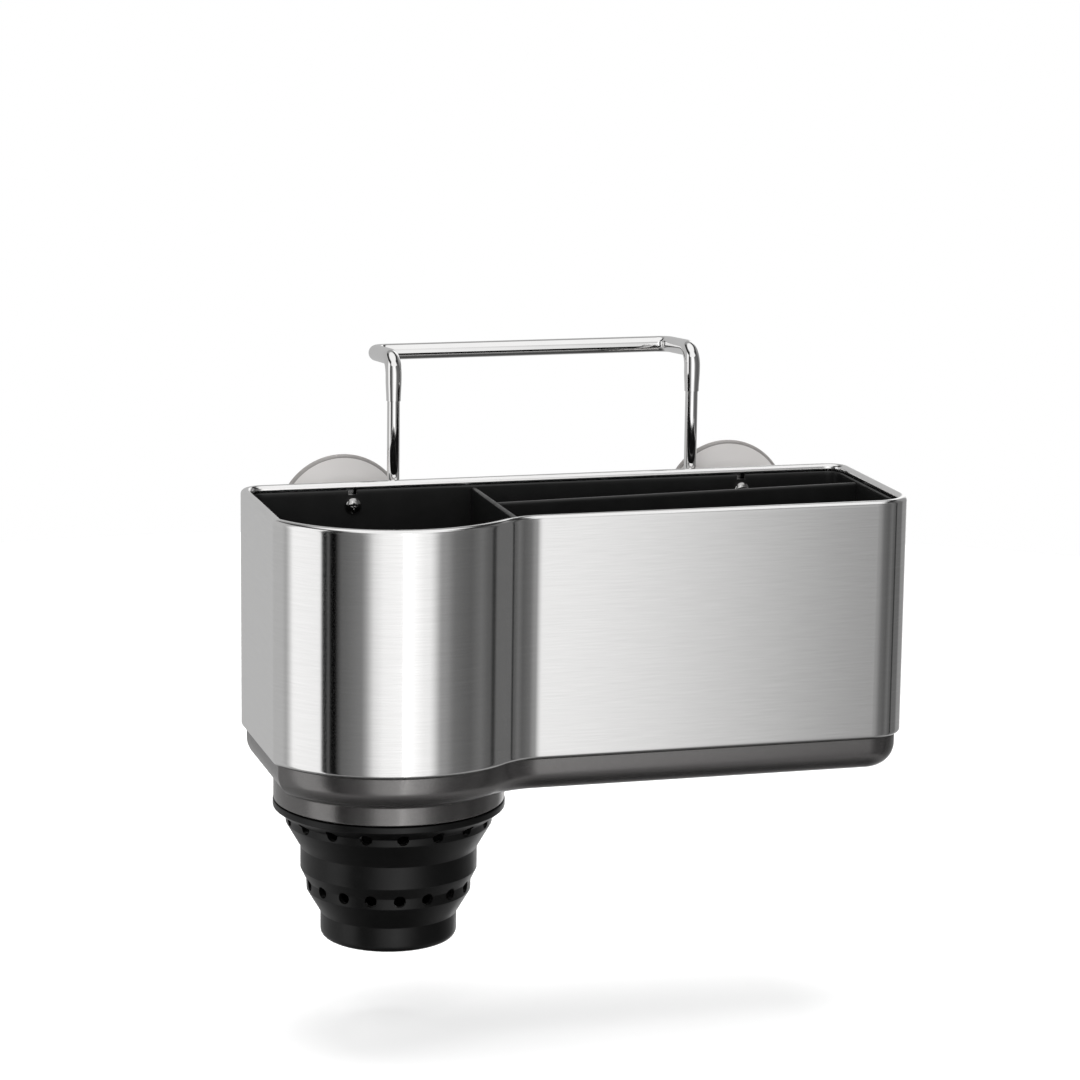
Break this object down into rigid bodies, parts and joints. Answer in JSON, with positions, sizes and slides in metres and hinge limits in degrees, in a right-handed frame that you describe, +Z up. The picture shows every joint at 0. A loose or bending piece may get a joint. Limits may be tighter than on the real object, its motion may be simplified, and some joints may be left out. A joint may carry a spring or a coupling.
{
  "type": "sink caddy",
  "caption": "Hanging sink caddy: steel-clad open tub with divided liner, round brush bay over a folding drip cup, suction cups and a sliding over-edge hanger.",
  "frame": {"origin": "midway between the two suction cups, on the plane that they press against", "axes": "+X along the width to the right, +Y backward into the sink wall, +Z up"},
  "size_m": [0.211, 0.1207, 0.1856],
  "materials": {
    "brushed_steel": "fine horizontal brushing with a bright rolled rim",
    "polished_steel": "polished",
    "black_plastic": "black satin",
    "grey_plastic": "dark warm grey with a fine fleck",
    "black_silicone": "matte black silicone",
    "clear_rubber": "milky translucent"
  },
  "bodies": {
    "caddy": {"steel_shell": "brushed_steel", "liner": "black_plastic", "base_tray": "grey_plastic", "cup_flange": "black_silicone", "bracket_left": "black_plastic", "suction_cup_left": "clear_rubber", "rod_bush_left": "grey_plastic", "bracket_right": "black_plastic", "suction_cup_right": "clear_rubber", "rod_bush_right": "grey_plastic", "bracket_screw_left_top": "polished_steel", "bracket_screw_left_low": "polished_steel", "bracket_screw_right_top": "polished_steel", "bracket_screw_right_low": "polished_steel", "base_screw_left_back": "polished_steel", "base_screw_left_front": "polished_steel", "base_screw_right_back": "polished_steel", "base_screw_right_front": "polished_steel"},
    "hanger": {"hanger_tube": "polished_steel", "hanger_rod_left": "polished_steel", "hanger_rod_right": "polished_steel", "rod_stop_left": "black_plastic", "rod_stop_right": "black_plastic"},
    "cup_middle": {"cup_middle_ring": "black_silicone", "cup_upper_web": "black_silicone"},
    "cup_bottom": {"cup_base": "black_silicone", "cup_lower_web": "black_silicone"}
  },
  "joints": [
    {"name": "hanger_slide", "type": "slide", "parent": "caddy", "child": "hanger", "axis": [0, 0, 1], "range_m": [-0.025, 0.0305]},
    {"name": "cup_upper_fold", "type": "slide", "parent": "caddy", "child": "cup_middle", "axis": [0, 0, 1], "range_m": [0, 0.0164], "deforming": ["cup_upper_web"]},
    {"name": "cup_lower_fold", "type": "slide", "parent": "cup_middle", "child": "cup_bottom", "axis": [0, 0, 1], "range_m": [0, 0.0152], "deforming": ["cup_lower_web"]}
  ]
}
